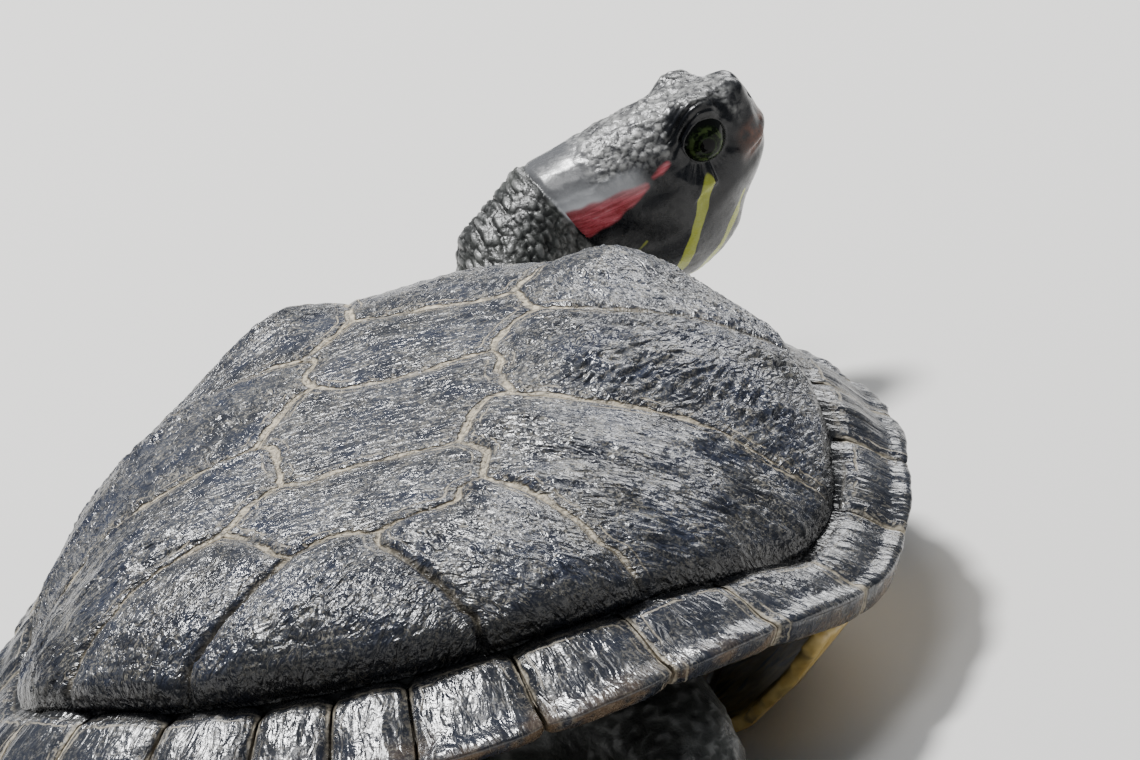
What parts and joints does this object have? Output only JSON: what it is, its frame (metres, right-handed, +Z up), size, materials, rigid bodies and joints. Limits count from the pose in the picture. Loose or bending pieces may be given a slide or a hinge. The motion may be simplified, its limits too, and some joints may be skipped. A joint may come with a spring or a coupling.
{
  "type": "red-eared slider turtle model",
  "caption": "Life-size still model of a dark adult red-eared slider turtle, resting on its belly with legs out and its head raised and turned to its right.",
  "frame": {"origin": "on the floor under the middle of the carapace, on the flat underside of the plastron", "axes": "+X to the turtle's right, +Y forward towards the head, +Z up"},
  "size_m": [0.1768, 0.2857, 0.0653],
  "materials": {
    "carapace_keratin": "dark slate horn, wet sheen, fine wrinkles, pale dust in the seams",
    "marginal_keratin": "dark horn with cross streaks, worn brown along the lower edge",
    "plastron_keratin": "dull yellow horn with dark blotches",
    "body_skin": "dark wrinkled scaly skin with faint yellow-green stripes",
    "head_skin": "glossy black-grey skin with a red ear stripe and yellow stripes",
    "horn": "dark reddish-brown horn of the beak and claws",
    "eye_gloss": "wet black eye with a green-flecked iris"
  },
  "bodies": {
    "root": {"vertebral_1": "carapace_keratin", "vertebral_2": "carapace_keratin", "vertebral_3": "carapace_keratin", "vertebral_4": "carapace_keratin", "vertebral_5": "carapace_keratin", "costal_left_1": "carapace_keratin", "costal_left_2": "carapace_keratin", "costal_left_3": "carapace_keratin", "costal_left_4": "carapace_keratin", "costal_right_1": "carapace_keratin", "costal_right_2": "carapace_keratin", "costal_right_3": "carapace_keratin", "costal_right_4": "carapace_keratin", "nuchal": "marginal_keratin", "marginal_left_1": "marginal_keratin", "marginal_left_2": "marginal_keratin", "marginal_left_3": "marginal_keratin", "marginal_left_4": "marginal_keratin", "marginal_left_5": "marginal_keratin", "marginal_left_6": "marginal_keratin", "marginal_left_7": "marginal_keratin", "marginal_left_8": "marginal_keratin", "marginal_left_9": "marginal_keratin", "marginal_left_10": "marginal_keratin", "marginal_left_11": "marginal_keratin", "marginal_left_12": "marginal_keratin", "marginal_right_1": "marginal_keratin", "marginal_right_2": "marginal_keratin", "marginal_right_3": "marginal_keratin", "marginal_right_4": "marginal_keratin", "marginal_right_5": "marginal_keratin", "marginal_right_6": "marginal_keratin", "marginal_right_7": "marginal_keratin", "marginal_right_8": "marginal_keratin", "marginal_right_9": "marginal_keratin", "marginal_right_10": "marginal_keratin", "marginal_right_11": "marginal_keratin", "marginal_right_12": "marginal_keratin", "plastron": "plastron_keratin", "bridge_left": "plastron_keratin", "bridge_right": "plastron_keratin", "trunk": "body_skin", "neck": "body_skin", "tail": "body_skin", "front_leg_left": "body_skin", "front_leg_right": "body_skin", "front_foot_left": "body_skin", "front_foot_right": "body_skin", "hind_leg_left": "body_skin", "hind_leg_right": "body_skin", "hind_foot_left": "body_skin", "hind_foot_right": "body_skin", "head": "head_skin", "lower_jaw": "horn", "eye_left": "eye_gloss", "eye_right": "eye_gloss"}
  },
  "joints": []
}
